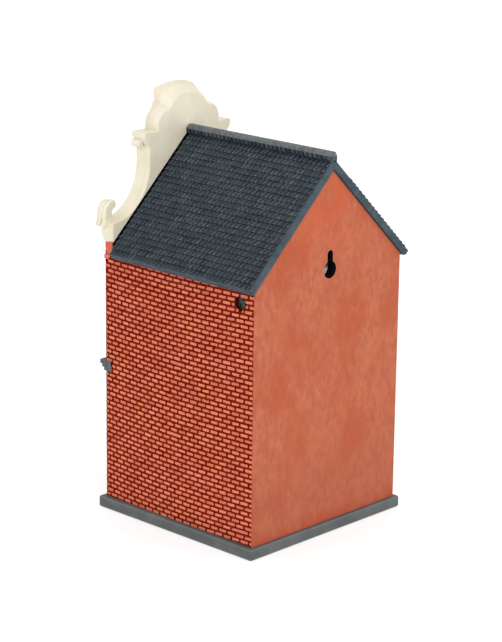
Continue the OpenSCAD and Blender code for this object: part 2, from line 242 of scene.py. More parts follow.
def brick_paint():
    """Salmon dry-brushed on the bricks' tops, with the dark red of the joints at their feet. The pink wash
    is a painted highlight.
    """
    p = Paint("brick_paint", 0.8, 0.1)
    p.coat(p.tone, (180, 84, 60), (222, 124, 100))
    p.over((210, 100, 70), p.patches(9), 0.5)
    p.over((236, 156, 138), p.patches(0.8, 2, 0.4), 0.45)
    p.over((226, 138, 96), p.patches(13, 3, 0.5, 0.72, shift=5), 0.5)
    # Painted highlight: the wash lays pink on the brick under each front corner block, where the corner
    # catches the light.
    p.over((214, 122, 112), p.wash, 0.7)
    worn = p.plus(p.height, p.noise(1.1, 2), 0.6)
    p.coat(p.span(worn, 0.5, 1.4), JOINT_RED, p.body)
    p.bump(p.noise(0.9), 0.1)
    p.bump(p.noise(0.25, 2), 0.03)
    p.roughness(p.noise(5), 0.68, 0.85)
    return p.finish()


def joint_paint():
    """The dark red wash of the brick joints."""
    p = Paint("joint_paint", 0.9, 0.0)
    p.coat(p.patches(4), JOINT_RED, (128, 36, 6))
    p.bump(p.noise(0.7), 0.12)
    return p.finish()


def terracotta_paint():
    """Matt terracotta brushed up and down: redder by the roof and at the foot, duller in the lower part, and
    paler on its rounded edges, partly worn paint and partly a painted highlight."""
    p = Paint("terracotta_paint", 0.78, 0.1)
    level = p.along("Z")
    strokes = p.noise(3.4, 5, (1, 1, 1.8))
    p.coat(p.span(strokes, 0.3, 0.72), (169, 90, 64), (189, 107, 80))
    p.over((195, 118, 91), p.patches(1, 3, 0.4, 0.62), 0.25)
    p.over((174, 82, 56), p.patches(26, 5, 0.36, 0.64, UPRIGHT, 3), 0.7)
    p.over((186, 107, 73), p.patches(11, 4, 0.5, 0.7, UPRIGHT, 7), 0.5)
    by_roof = p.sums("MULTIPLY", p.span(level, 185, 235), p.patches(14, 3, 0.3, 0.6))
    p.over((195, 89, 55), by_roof, 0.55)
    at_foot = p.sums("MULTIPLY", p.span(level, 10, 20, 1, 0), p.patches(12, 3, 0.3, 0.6, shift=4))
    p.over((182, 66, 40), at_foot, 0.6)
    p.over((150, 82, 62), p.span(level, 30, 90, 1, 0), 0.3)
    # Paler rounded edges: worn paint and painted highlight.
    p.over((214, 138, 108), p.height, 0.5)
    p.bump(p.span(strokes, 0.3, 0.7), 0.06)
    p.bump(p.noise(0.5), 0.04)
    p.roughness(strokes, 0.62, 0.82)
    return p.finish()


def smooth_paint():
    """The plain orange blocks under the gable's scrolls, browner on their edges."""
    p = Paint("smooth_paint", 0.7, 0.3)
    p.coat(p.patches(2.2, 3), (206, 88, 66), (200, 112, 82))
    p.over((164, 104, 74), p.height, 0.8)
    p.bump(p.noise(1.2), 0.1)
    return p.finish()


def slate_paint():
    """Dark blue-grey pantiles, lighter along their rolls, dry-brushed and partly a painted highlight, and a
    little darker low on the roof, with painted shade in the hollows by the ridge and painted shadow at the
    laps."""
    p = Paint("slate_paint", 0.65, 0.2)
    p.coat(p.tone, (22, 32, 40), (42, 54, 63))
    p.over((40, 44, 40), p.patches(18, 3, 0.52, 0.68), 0.35)
    # The rolls' painted height makes them lighter: dry-brushing, and partly a painted highlight.
    brushed = p.plus(p.height, p.noise(1.5), 1.7)
    brushed = p.sums("ADD", brushed, p.span(p.noise(9, 4, shift=2), 0.3, 0.7, -0.22, 0.22))
    p.coat(p.span(brushed, 0.8, 2.0), p.body, p.mix(p.tone, (90, 99, 105), (61, 70, 77)))
    p.over(TILE_HOLLOW_SHADE, p.span(p.along("Z"), 190, 250, 1, 0), 0.16)
    # The wash lays painted shade in the hollows by the ridge and a painted shadow at each lap.
    p.over(TILE_HOLLOW_SHADE, p.wash)
    p.bump(p.noise(0.6), 0.1)
    p.roughness(p.noise(3), 0.5, 0.7)
    return p.finish()


def border_paint():
    """The smooth blue-grey borders of the roof, a little paler on their edges as a painted highlight."""
    p = Paint("border_paint", 0.62, 0.35)
    p.coat(p.patches(7), (42, 58, 68), (58, 76, 86))
    p.over((74, 82, 84), p.patches(1.5, 3, 0.5, 0.7), 0.4)
    # Painted highlight along the rounded edges.
    p.over((84, 98, 106), p.height, 0.35)
    p.bump(p.noise(0.9), 0.08)
    return p.finish()


def plain_paint(name, dark, light, size, roughness=0.65, relief=0.06, specular=0.3):
    """A matt painted casting whose colour drifts between two tones, paler on its edges."""
    p = Paint(name, roughness, specular)
    p.coat(p.patches(size), dark, light)
    p.over([c + 26 for c in light], p.height, 0.3)
    p.bump(p.noise(1.1), relief)
    p.roughness(p.noise(2.5), roughness - 0.08, roughness + 0.08)
    return p.finish()


def cream_paint():
    """Cream with a thin brown wash that has stayed in the hollows."""
    p = Paint("cream_paint", 0.6, 0.35)
    p.coat(p.patches(14, 3), (226, 217, 195), (233, 225, 205))
    p.over((222, 208, 172), p.patches(6, 3, 0.55, 0.75), 0.3)
    p.over((168, 148, 112), p.span(p.plus(p.wash, p.noise(1.2, 2), 0.4), 0.3, 1.3), 0.55)
    p.bump(p.noise(1.6), 0.08)
    return p.finish()


def pocket_paint():
    """The keyhole's closed bottom: light bare resin in the middle, with painted shadow darkening it above
    and below.
    """
    p = Paint("pocket_resin", 0.55, 0.3)
    p.coat(p.patches(2, 3), (190, 206, 210), (216, 228, 232))
    from_lit_middle = p.sums("SUBTRACT", p.along("Z"), pocket_low.z + POCKET_LIT_MIDDLE)
    # Painted shadow: darker away from the lit middle.
    p.over((64, 78, 80), p.span(p.sums("ABSOLUTE", from_lit_middle, 0), 1.6, 4.2))
    p.bump(p.noise(1.1), 0.06)
    return p.finish()


def hole_paint():
    """The holes through the walls: dark red where the paint reached, bare grey resin further in."""
    p = Paint("hole_paint", 0.85, 0.2)
    p.coat(p.patches(1.1, 3, high=0.62), (26, 24, 24), (118, 115, 106))
    out = p.sums("ABSOLUTE", p.along("X"), 0)
    p.over((66, 5, 3), p.span(out, PAINT_REACH - 0.3, PAINT_REACH + 0.3))
    p.bump(p.noise(0.8), 0.2)
    return p.finish()


def gloss_paint(name, colour, sheen):
    """Satin paint on the door and the blind panes."""
    p = Paint(name, 0.3, 0.5)
    p.coat(p.patches(6, 3), colour, sheen)
    p.bump(p.noise(2.5), 0.05)
    p.roughness(p.noise(3), 0.22, 0.4)
    return p.finish()


BRICK = brick_paint()
JOINT = joint_paint()
TERRACOTTA = terracotta_paint()
SMOOTH = smooth_paint()
SLATE = slate_paint()
BORDER = border_paint()
CREAM = cream_paint()
RIDGE = plain_paint("ridge_paint", (84, 90, 93), (106, 110, 111), 3, 0.7, 0.25)
PLINTH = plain_paint("plinth_paint", (81, 85, 85), (94, 98, 98), 16)
GREY = plain_paint("grey_paint", (72, 76, 77), (92, 95, 96), 4)
RESIN = plain_paint("bare_resin", (176, 172, 162), (204, 200, 190), 4, 0.8, 0.12)
SHADE = plain_paint("shadow_gap", (3, 4, 5), (9, 8, 8), 3, 0.95, 0.06, 0.0)
BORE = plain_paint("keyhole_sides", (6, 9, 11), (22, 22, 24), 3, 0.9, 0.06, 0.05)
POCKET = pocket_paint()
HOLE = hole_paint()
PANE = gloss_paint("pane_paint", (36, 42, 50), (50, 58, 66))
DOOR = gloss_paint("door_paint", (40, 66, 52), (50, 80, 62))


# ---- Meshes ----

# The paint at a point: how proud it stands, its own shade, and how much of a wash it holds, which is brown
# on cream (painted shade on the crown's front half), painted shade in the tiles' hollows and laps, and a
# pink painted highlight on a brick. Each goes from 0 to 1.
PROUD = (1.0, 0.5, 0.0)
SUNK = (0.0, 0.5, 0.0)
SKIN = 0.03


def placed(name, data):
    """A new object in the scene."""
    made = bpy.data.objects.new(name, data)
    bpy.context.scene.collection.objects.link(made)
    return made


class Sculpt:
    """Gathers the points and faces of one piece, and the paint at each point."""

    def __init__(self):
        self.points = []
        self.faces = []
        self.paint = []

    def add(self, points, faces, paint, flip=False):
        first = len(self.points)
        self.points += points
        self.paint += paint
        for face in faces:
            corners = [first + corner for corner in face]
            self.faces.append(corners[::-1] if flip else corners)

    def skin(self, rings, paint, flip=False):
        """Joins rings of as many points each into a closed body. paint has one entry a point or a ring."""
        count = len(rings[0])
        points = [point for ring in rings for point in ring]
        last = len(points) - count
        faces = [tuple(range(count))[::-1], tuple(range(last, last + count))]
        for start in range(0, last, count):
            for i in range(count):
                a, b = start + i, start + (i + 1) % count
                faces.append((a, b, b + count, a + count))
        if len(paint) < len(points):
            paint = [entry for entry in paint for _ in range(count)]
        self.add(points, faces, paint, flip)

    def sheet(self, points, count, paint, sink, flip):
        """A sheet of rows with count points each, with a skirt around it down to a flat bottom."""
        depth = len(points) // count
        faces = [(a, a + count, a + count + 1, a + 1)
                 for start in range(0, (depth - 1) * count, count) for a in range(start, start + count - 1)]
        rim = list(range(count)) + [row * count - 1 for row in range(2, depth + 1)]
        rim += [(depth - 1) * count + i for i in range(count - 2, -1, -1)]
        rim += [row * count for row in range(depth - 2, 0, -1)]
        skirt = [len(points) + k for k in range(len(rim))]
        for k in range(len(rim)):
            faces.append((rim[k - 1], rim[k], skirt[k], skirt[k - 1]))
        faces.append(skirt)
        self.add(points + [points[i] + sink for i in rim], faces, paint + [SUNK] * len(rim), flip)

    def take(self, form, edges, paint=None):
        """Adds a bmesh, made in millimetres, and frees it. Without paint, its rounded edges are proud."""
        form.verts.index_update()
        points = [vert.co.copy() for vert in form.verts]
        faces = [[vert.index for vert in face.verts] for face in form.faces]
        shades = [paint or (PROUD if vert in edges else SUNK) for vert in form.verts]
        form.free()
        self.add(points, faces, shades)

    def prism(self, outline, place, low, high, width, paint=None, segments=2, plain=None):
        """A slab over a flat outline with rounded edges. place(a, b, c) turns the outline's two
        values and a depth between low and high into a point. Edges that plain accepts stay sharp."""
        form = bmesh.new()
        ends = [[form.verts.new(place(a, b, c)) for a, b in outline] for c in (low, high)]
        for end in ends:
            form.faces.new(end)
        for i in range(len(outline)):
            j = (i + 1) % len(outline)
            form.faces.new((ends[0][i], ends[0][j], ends[1][j], ends[1][i]))
        bmesh.ops.recalc_face_normals(form, faces=form.faces)
        self.take(form, round_edges(form, width, segments, plain), paint)

    def make(self, name, material, slot, replaced=(), sharp=38):
        """Finishes the piece: its mesh and material, and what it rides on and replaces. Its slot is not
        used.
        """
        mesh = bpy.data.meshes.new(name)
        mesh.from_pydata([point * MM for point in self.points], [], self.faces)
        values = mesh.attributes.new("paint", "FLOAT_VECTOR", "POINT")
        values.data.foreach_set("vector", [number for entry in self.paint for number in entry])
        mesh.polygons.foreach_set("use_smooth", [True] * len(mesh.polygons))
        mesh.set_sharp_from_angle(angle=math.radians(sharp))
        mesh.materials.append(material)
        piece = placed(name, mesh)
        evened = piece.modifiers.new("even_shading", "WEIGHTED_NORMAL")
        evened.keep_sharp = True
        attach(piece, "root")
        if replaced:
            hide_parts(*replaced)
        return piece


def round_edges(form, width, segments=2, plain=None):
    """Bevels the edges of a bmesh that turn by more than 25 degrees, and gives their middle points."""
    edges = [edge for edge in form.edges
             if len(edge.link_faces) == 2 and edge.calc_face_angle() > math.radians(25)
             and not (plain and plain(edge))]
    made = bmesh.ops.bevel(form, geom=edges, offset=width, offset_type="OFFSET", segments=segments,
                           profile=0.5, affect="EDGES", clamp_overlap=True)
    rounded = set(made["faces"])
    return {vert for vert in made["verts"] if rounded.issuperset(vert.link_faces)}


def softened(node, name, width, material, slot, segments=2):
    """A copy of a CAD node with rounded edges, which replaces the node."""
    form = bmesh.new()
    form.from_mesh(cad_mesh(node))
    for vert in form.verts:
        vert.co /= MM
    bmesh.ops.remove_doubles(form, verts=form.verts, dist=0.001)
    bmesh.ops.dissolve_limit(form, angle_limit=math.radians(1), verts=form.verts, edges=form.edges)
    bmesh.ops.recalc_face_normals(form, faces=form.faces)
    copy = Sculpt()
    copy.take(form, round_edges(form, width, segments))
    return copy.make(name, material, slot, (node,))


def paint_faces(mesh, *chosen):
    """Shares out the faces of a mesh. chosen has (material, test) pairs, where a test takes a face's
    normal and its centre in millimetres, and a face takes the first that accepts it."""
    mesh.materials.clear()
    for material, _ in chosen:
        mesh.materials.append(material)
    for face in mesh.polygons:
        centre = face.center / MM
        face.material_index = next(i for i, (_, test) in enumerate(chosen)
                                   if test is None or test(face.normal, centre))


def along_y(side):
    """Places an outline of X and Z values, with its depth along Y, on one side of the house."""
    return lambda x, z, y: Vector((side * x, y, z))


def along_x(side):
    """Places an outline of Y and Z values, with its depth along X."""
    return lambda y, z, x: Vector((side * x, y, z))


def along_z(side):
    """Places an outline of X and Y values, with its depth along Z."""
    return lambda x, y, z: Vector((side * x, y, z))


flat = along_y(1)


def rectangle(x0, z0, x1, z1):
    return [(x0, z0), (x1, z0), (x1, z1), (x0, z1)]


def arc(x, z, r, start, end, steps):
    """Points along an arc, with its angles in degrees."""
    angles = [math.radians(start + (end - start) * i / steps) for i in range(steps + 1)]
    return [(x + r * math.cos(a), z + r * math.sin(a)) for a in angles]


def curve(points, steps):
    """A smooth curve through the points, with as many steps between each two."""
    ends = [points[0]] + list(points) + [points[-1]]
    made = []
    for i in range(1, len(ends) - 2):
        p = [Vector(ends[i + k]) for k in (-1, 0, 1, 2)]
        for step in range(steps):
            t = step / steps
            made.append(0.5 * (2 * p[1] + (p[2] - p[0]) * t
                               + (2 * p[0] - 5 * p[1] + 4 * p[2] - p[3]) * t ** 2
                               + (3 * p[1] - p[0] - 3 * p[2] + p[3]) * t ** 3))
    return made + [Vector(points[-1])]


def resampled(points, count):
    """As many points as count, evenly spaced along a polyline."""
    points = [Vector(p) for p in points]
    lengths = [0.0]
    for a, b in zip(points, points[1:]):
        lengths.append(lengths[-1] + (b - a).length)
    made = []
    k = 0
    for i in range(count):
        aim = lengths[-1] * i / (count - 1)
        while k < len(points) - 2 and lengths[k + 1] < aim:
            k += 1
        share = (aim - lengths[k]) / (lengths[k + 1] - lengths[k])
        made.append(points[k].lerp(points[k + 1], min(share, 1.0)))
    return made


def normals(points):
    """The normal at each point of an open line in the plane, on its right-hand side."""
    made = []
    for i in range(len(points)):
        along = points[min(i + 1, len(points) - 1)] - points[max(i - 1, 0)]
        made.append(Vector((along.y, -along.x)).normalized())
    return made


# ---- Brickwork ----

COURSE = 3.35
BRICK_H = 1.95
BRICK_RISE = 0.5
END_JOINT = 1.4
FIRST_JOINT = 0.7
CUT_JOINT = 0.25
SHORTEST_BRICK = 0.8
CORNER_R = 0.55
EDGE_PLAY = 0.1
END_PLAY = 0.2
LEVEL_PLAY = 0.09
COURSE_WANDER = 0.16
BRICK_WANDER = 0.14
CHIPPED = 0.3
JOINED = 0.006
FRONT_PITCH = 7.3
SIDE_PITCH = 6.75
SIDE_GROWTH = 0.0096
SIDE_PHASE = 0.37
SIDE_LEAN = 0.014
SIDE_UPRIGHT = 135
SIDE_RAISE = 0.5
SIDE_SAG = 1.5
SIDE_BRICK_TOP = 175.3
# A brick's rings from its foot to its top: inset, share of its rise, and painted height.
BRICK_RINGS = ((-0.12, -0.2, 0.0), (-0.05, 0.25, 0.3), (0.08, 0.82, 0.85), (0.34, 1.0, 1.0))


def add_brick(mesh, place, u0, u1, foot, head, rng, flip):
    """One brick with soft, slightly wandering edges, as a closed body sunk into the wall.
    foot and head give the heights of its lower and upper edge at u0 and at u1."""
    tone = rng.random()
    r = min(CORNER_R, (u1 - u0) * 0.3)
    corners = ((u1 - r, foot[1] + r, -90), (u1 - r, head[1] - r, 0), (u0 + r, head[0] - r, 90),
               (u0 + r, foot[0] + r, 180))
    outline = [Vector(point) + Vector([rng.uniform(-EDGE_PLAY, EDGE_PLAY) for _ in range(2)])
               for u, v, start in corners for point in arc(u, v, r, start, start + 90, 2)]
    middle = Vector(((u0 + u1) / 2, (sum(foot) + sum(head)) / 4))
    if rng.random() < CHIPPED:
        chip = rng.randrange(len(outline))
        outline[chip] = outline[chip].lerp(middle, rng.uniform(0.15, 0.4))
    proud = BRICK_RISE * rng.uniform(0.8, 1.1)
    rings = []
    for inset, share, _ in BRICK_RINGS:
        ring = [point + (middle - point).normalized() * inset for point in outline]
        rings.append([place(u, v, share * proud) for u, v in ring])
    mesh.skin(rings, [(height, tone, 0.0) for _, _, height in BRICK_RINGS], flip)


def round_cut(u, v, r):
    """Leaves a round opening free of bricks."""
    def gap(low, high):
        near = (low + high) / 2 - v
        if abs(near) >= r:
            return None
        half = math.sqrt(r * r - near * near)
        return u - half, u + half
    return gap


def square_cut(u0, u1, v0, v1):
    """Leaves a rectangle free of bricks."""
    def gap(low, high):
        return (u0, u1) if high > v0 and low < v1 else None
    return gap


def node_cut(node, corner):
    """Leaves a CAD node's front free of bricks, on a face whose measures begin at its lower corner."""
    low, high = cad(node)
    return square_cut(low.x - corner.x, high.x - corner.x, low.z - corner.z, high.z - corner.z)


def spans(start, end, cuts, low, high):
    """The stretches between start and end that no cut takes from a course."""
    left = [(start, end)]
    for cut in cuts:
        gap = cut(low, high)
        if gap:
            parts = [part for a, b in left for part in ((a, min(b, gap[0])), (max(a, gap[1]), b))]
            left = [(a, b) for a, b in parts if b > a]
    return left


def front_bond(number, v):
    """Where an upright joint of the front stands: number counts bricks, and v is the height."""
    return FRONT_PITCH * number


def side_bond(number, v):
    """The same for a side wall, whose bricks grow longer towards the back and lean a little."""
    grown = math.exp(SIDE_GROWTH * (number + SIDE_PHASE)) - 1
    return SIDE_PITCH / SIDE_GROWTH * grown + SIDE_LEAN * (SIDE_UPRIGHT - v)


def side_rise(u):
    """How far a side wall's courses stand above a level line: they sag between the corners."""
    return SIDE_RAISE - SIDE_SAG * math.sin(math.pi * u / (BACK_Y - FRONT_Y))


def lay_bricks(mesh, place, start, end, height, cuts, bond, rng, flip=False, rise=lambda u: 0.0):
    """Courses of running bond, whose upright joints stand where bond says."""
    for course in range(int((height - FIRST_JOINT - BRICK_H) / COURSE) + 1):
        low = FIRST_JOINT + course * COURSE
        wander = COURSE_WANDER * noise.noise(Vector((course * 0.9, 0.5, 3.1)))
        for a, b in spans(start, end, cuts, low, low + BRICK_H):
            number = -1 + 0.5 * (course % 2)
            while bond(number, low) < b:
                count = 2 if rng.random() < JOINED else 1
                u0 = bond(number, low) + END_JOINT / 2 + rng.uniform(-END_PLAY, END_PLAY)
                u1 = bond(number + count, low) - END_JOINT / 2 + rng.uniform(-END_PLAY, END_PLAY)
                u0 = max(u0, a + CUT_JOINT * (a > start))
                u1 = min(u1, b - CUT_JOINT * (b < end))
                if u1 - u0 > SHORTEST_BRICK:
                    drift = wander + BRICK_WANDER * noise.noise(Vector((u0 / 18, course * 0.4, 0)))
                    levels = [v + drift + rng.uniform(-LEVEL_PLAY, LEVEL_PLAY) for v in (low, low + BRICK_H)]
                    foot, head = [(v + rise(u0), v + rise(u1)) for v in levels]
                    add_brick(mesh, place, u0, u1, foot, head, rng, flip)
                number += count


BACK_MARGIN = 1.0
CORNER_LAP = 1.6
BLOCK_Z = BASE_Z + 174.2
BLOCK_RISE = 0.4
BLOCK_SLANT = 0.9
CORNER_BRICK = 3.6
STRING_DROP = 0.7
WEB_FROM = 62
WEB_TO = 318


def brick_sides():
    """The side walls' bricks, and the longer one under each front corner block, washed pink as a painted
    highlight.
    """
    string_z = string_low.z - STRING_DROP
    half_string = (string_high.z - string_low.z) / 2
    cuts = [round_cut(VENT.x - FRONT_Y, VENT.y - BASE_Z, VENT_R),
            square_cut(0, string_high.y - FRONT_Y, string_z - BASE_Z, string_z + half_string - BASE_Z)]
    corner_brick = rectangle(HALF_W - 4, FRONT_Y - 1, HALF_W + 0.9, FRONT_Y + CORNER_BRICK)
    for side, word in SIDES:
        def place(u, v, h):
            return Vector((side * (HALF_W + h), FRONT_Y + u, BASE_Z + v))

        mesh = Sculpt()
        lay_bricks(mesh, place, 0.7, BACK_Y - FRONT_Y - 0.6 * BACK_MARGIN, SIDE_BRICK_TOP, cuts, side_bond,
                   random.Random(11 + side), side < 0, side_rise)
        # The corner brick holds a full wash: its pink is a painted highlight.
        mesh.prism(corner_brick, along_z(side), BLOCK_Z - 3.6, BLOCK_Z - 0.2, 0.8, (1.0, 0.8, 1.0),
                   segments=3)
        mesh.make("bricks_" + word, BRICK, "brick")


def corners():
    """The plain margin that rounds each back corner, and the smooth block at each front corner."""
    outer = HALF_W + BRICK_RISE
    plan = [(outer, BACK_Y - BACK_MARGIN), (outer, BACK_Y + SKIN), (outer - CORNER_LAP, BACK_Y + SKIN),
            (outer - CORNER_LAP, BACK_Y - 1), (HALF_W - 1, BACK_Y - BACK_MARGIN)]
    block = [(FRONT_Y + 1.5, BLOCK_Z), (PANEL_BACK_Y + SKIN, BLOCK_Z),
             (PANEL_BACK_Y + SKIN, FRONT_TOP + BLOCK_SLANT), (FRONT_Y - SKIN, FRONT_TOP - 0.2),
             (FRONT_Y - SKIN, BLOCK_Z + 6), (FRONT_Y + 0.5, BLOCK_Z + 2.5)]

    def not_corner(edge):
        return any(abs(vert.co.x) < outer - 0.01 or vert.co.y < BACK_Y for vert in edge.verts)

    for side, word in SIDES:
        margin = Sculpt()
        margin.prism(plan, along_z(side), BASE_Z - 0.2, SOFFIT_AT_WALL + 1, 0.7, segments=3,
                     plain=not_corner)
        margin.make("corner_margin_" + word, TERRACOTTA, "brick")
        smooth = Sculpt()
        smooth.prism(block, along_x(side), HALF_W - 3, HALF_W + BLOCK_RISE, 0.4, segments=3)
        smooth.make("corner_block_" + word, SMOOTH, "brick")


def vent_webs():
    """The rough web of resin that half closes the inner mouth of each air hole."""
    for side, word in SIDES:
        mesh = Sculpt()
        mesh.prism(arc(VENT.x, VENT.y, VENT_R + 0.1, WEB_FROM, WEB_TO, 22), along_x(side), side_low.x + 0.2,
                   side_low.x + 1.6, 0.3, SUNK)
        mesh.make("vent_web_" + word, HOLE, "brick")


def face_bricks(name, corner, start, end, height, cuts, seed):
    """Bricks on a face at the front, whose measures begin at its lower corner."""
    def place(u, v, h):
        return Vector((corner.x + u, corner.y - h, corner.z + v))

    mesh = Sculpt()
    lay_bricks(mesh, place, start, end, height, cuts, front_bond, random.Random(seed))
    mesh.make(name, BRICK, "brick")


def brick_front():
    """The front's bricks, which leave its frames, sills, trims and entrance ring free."""
    corner = Vector((-HALF_W, FRONT_Y, BASE_Z))
    trims = [f"{level}_{part}_{word}" for level in ("ground", "upper") for part in ("frame", "sill")
             for _, word in SIDES]
    trims += ["door_frame", "door_step", "string_course"]
    low, high = cad("entrance_ring")
    ring = round_cut((low.x + high.x) / 2 + HALF_W, (low.z + high.z) / 2 - BASE_Z, (high.x - low.x) / 2)
    cuts = [node_cut(node, corner) for node in trims] + [ring]
    face_bricks("bricks_front", corner, 0.0, 2 * HALF_W, FRONT_TOP - BASE_Z, cuts, 5)


def brick_neck():
    width, height = facing_high.x - facing_low.x, facing_high.z - facing_low.z
    cuts = [node_cut(node, facing_low) for node in ("attic_frame", "attic_sill")]
    face_bricks("bricks_neck", facing_low, 0.4, width - 0.4, height, cuts, 6)


def walls():
    """The looks of the walls' faces: painted outside, dark joints under the bricks, bare resin inside."""
    def in_vent(n, p):
        return abs(n.x) < 0.1 and (Vector((p.y, p.z)) - VENT).length < VENT_R + 0.2

    for side, word in SIDES:
        paint_faces(cad_mesh("side_wall_" + word), (HOLE, in_vent), (RESIN, lambda n, p: n.x * side < -0.5),
                    (JOINT, None))
    back = softened("back_wall", "back_face", 0.5, TERRACOTTA, "terracotta")
    paint_faces(back.data, (JOINT, lambda n, p: abs(n.x) > 0.9 and abs(p.x) > HALF_W - 1),
                (TERRACOTTA, lambda n, p: n.y > 0.3 or abs(p.x) > HALF_W - 1),
                (RESIN, lambda n, p: n.y < -0.9), (BORE, None))
    paint_faces(cad_mesh("front_wall"), (RESIN, lambda n, p: n.y > -0.5 and abs(p.x) < HALF_W - 1),
                (JOINT, None))
    paint_faces(cad_mesh("neck_facing"), (JOINT, None))
    paint_faces(cad_mesh("keyhole_pocket"), (POCKET, lambda n, p: n.y > 0.5 and p.y < BACK_Y - 7),
                (BORE, None))


# ---- Roof ----

COLUMNS = 35
COLUMN_GROWTH = 0.0045
TILE_END = 1.3
TILE_L = 4.55
ROLL_STEPS = 10
ROLL_H = 0.5
LAP_H = 0.52
ROLL_SLANT = 0.34
ROLL_PEAK = 0.62
TILE_ROWS_AT = (0.0, 0.2, 0.44, 0.72, 0.92, 1.0)
LAP_SHADE = 0.3
ROW_WANDER = 0.35
ROOF_GAP = 1.5
GAP_END = PANEL_BACK_Y + ROOF_GAP
DECK_AT_WALL = (HALF_W - DECK_T * math.sin(PITCH)) / math.cos(PITCH)
FIRST_TILE = -2.2
TILE_OVERHANG = 0.7
CORNER_CUT = 0.3
CUT_TILES = 3
RIDGE_SHADE = 5.5
EAVE_DROP = 1.1
FAR_CUT = 1.6
VERGE_RISE = 0.35
VERGE_LIP = 1.6
VERGE_LAP = 0.6
LAPS_FROM = 16
RIDGE_TILE_L = 27.0
RIDGE_JOINT = 0.12
CAP_H = 3.5
CAP_RISE = 0.9
BED_H = 3.5
NOSE_L = 1.0
NOSE_DROP = 0.9
LUMP_LEAN = -0.45


def roof_point(side, run, y, h):
    """A point of the roof: run down the slope from the ridge, and h above the soffit."""
    return Vector((side * (run * math.cos(PITCH) + h * math.sin(PITCH)), y,
                   SOFFIT_PEAK - run * math.sin(PITCH) + h * math.cos(PITCH)))


def roll(across, down):
    """The height of a pantile from 0 to 1, with its roll leaning a little across the tile."""
    turn = (across + ROLL_SLANT * (down - 0.5)) % 1.0
    if turn < ROLL_PEAK:
        turn = turn / ROLL_PEAK * 0.5
    else:
        turn = 0.5 + (turn - ROLL_PEAK) / (1 - ROLL_PEAK) * 0.5
    return (0.5 - 0.5 * math.cos(2 * math.pi * turn)) ** 1.3


def cut_back(run):
    """How far the roof's front end stands back from the gable: more past the wall, at the corner."""
    past = run * math.cos(PITCH) + DECK_T * math.sin(PITCH) - HALF_W
    return max(0.0, past) * CORNER_CUT


def column_edge(number):
    """Where a column of tiles begins along the roof: the columns grow wider to the back."""
    share = (math.exp(COLUMN_GROWTH * number) - 1) / (math.exp(COLUMN_GROWTH * COLUMNS) - 1)
    return GAP_END + (ROOF_END_Y - TILE_END - GAP_END) * share


def pantiles(side, word):
    """One slope's pantiles as a closed sheet: rows that step down at each lap, with slanting rolls."""
    rng = random.Random(40 + side)
    foot = EAVE_RUN - TILE_OVERHANG
    rows = math.ceil((foot - FIRST_TILE) / TILE_L)
    loose = [[(rng.random(), rng.uniform(-0.2, 0.2), rng.uniform(-0.16, 0.16)) for _ in range(COLUMNS)]
             for _ in range(rows)]
    across = [i / ROLL_STEPS for i in range(COLUMNS * ROLL_STEPS + 1)]
    points = []
    paint = []
    for row in range(rows):
        stray = rng.uniform(-0.09, 0.09)
        for down in TILE_ROWS_AT:
            run = foot - (rows - row - down) * TILE_L
            if run < FIRST_TILE and down > 0.9:
                continue
            if run < FIRST_TILE:
                run = FIRST_TILE + down * 0.01
            worn = 1 - max(0.0, down - 0.8) * 0.6
            inner = 1.0 if FIRST_TILE < run < foot - 0.5 else 0.0
            for u in across:
                tone, lift, shift = loose[row][min(int(u), COLUMNS - 1)]
                high = roll(u + stray + shift * math.sin(math.pi * (u % 1.0)), down)
                h = ROLL_H * high * worn + (LAP_H + lift) * down
                y = column_edge(u) + cut_back(run) * max(0.0, 1 - u / CUT_TILES)
                wander = ROW_WANDER * noise.noise(Vector((y / 13, row * 0.8, side * 5.0)))
                points.append(roof_point(side, run + wander * inner, y, DECK_T + h))
                # Painted shade and shadow: the troughs darken towards the ridge, and each tile is painted
                # darker at its upper end, where the row above casts its shadow.
                trough_shade = 0.9 * (1 - high) * max(0.0, 1 - (run - FIRST_TILE) / RIDGE_SHADE)
                lap = LAP_SHADE * max(0.0, 1 - down / 0.3)
                paint.append((high * (0.4 + 0.6 * down), tone, max(trough_shade, lap)))
    mesh = Sculpt()
    sink = roof_point(side, 0, 0, 0) - roof_point(side, 0, 0, ROLL_H + LAP_H + 0.3)
    mesh.sheet(points, len(across), paint, sink, side < 0)
    mesh.make("pantiles_" + word, SLATE, "slate", sharp=50)


def board(mesh, side, runs, heights, ys, width, mitre=False, cut=0.0):
    """A board of the roof with rounded edges. With mitre its upper end is upright under the ridge, and
    cut takes the lower corner off its foot, level, up to that height."""
    upper, lower = runs
    under, over = heights
    lean = math.tan(PITCH) if mitre else 0.0
    foot = [(lower - cut / math.tan(PITCH), under), (lower, under + cut)] if cut else [(lower, under)]
    outline = [(upper - under * lean, under)] + foot + [(lower, over), (upper - over * lean, over)]

    def on_mitre(edge):
        return mitre and all(abs(vert.co.x) < 0.01 for vert in edge.verts)

    mesh.prism(outline, lambda run, h, y: roof_point(side, run, y, h), *ys, width, plain=on_mitre)


def deck(side, word):
    """The deck under the tiles. Past the wall, its front end stands back from the gable."""
    end = ROOF_END_Y - VERGE_W + 0.3
    mesh = Sculpt()
    board(mesh, side, (0, DECK_AT_WALL), (0, DECK_T), (GAP_END, end), 0.15, mitre=True)
    board(mesh, side, (DECK_AT_WALL - 0.5, EAVE_RUN - EAVE_TRIM_W + 0.3), (0, DECK_T - 0.05),
          (GAP_END + cut_back(EAVE_RUN) - 1, end), 0.15)
    mesh.make("roof_deck_" + word, BORDER, "slate", ("roof_slope_" + word,))


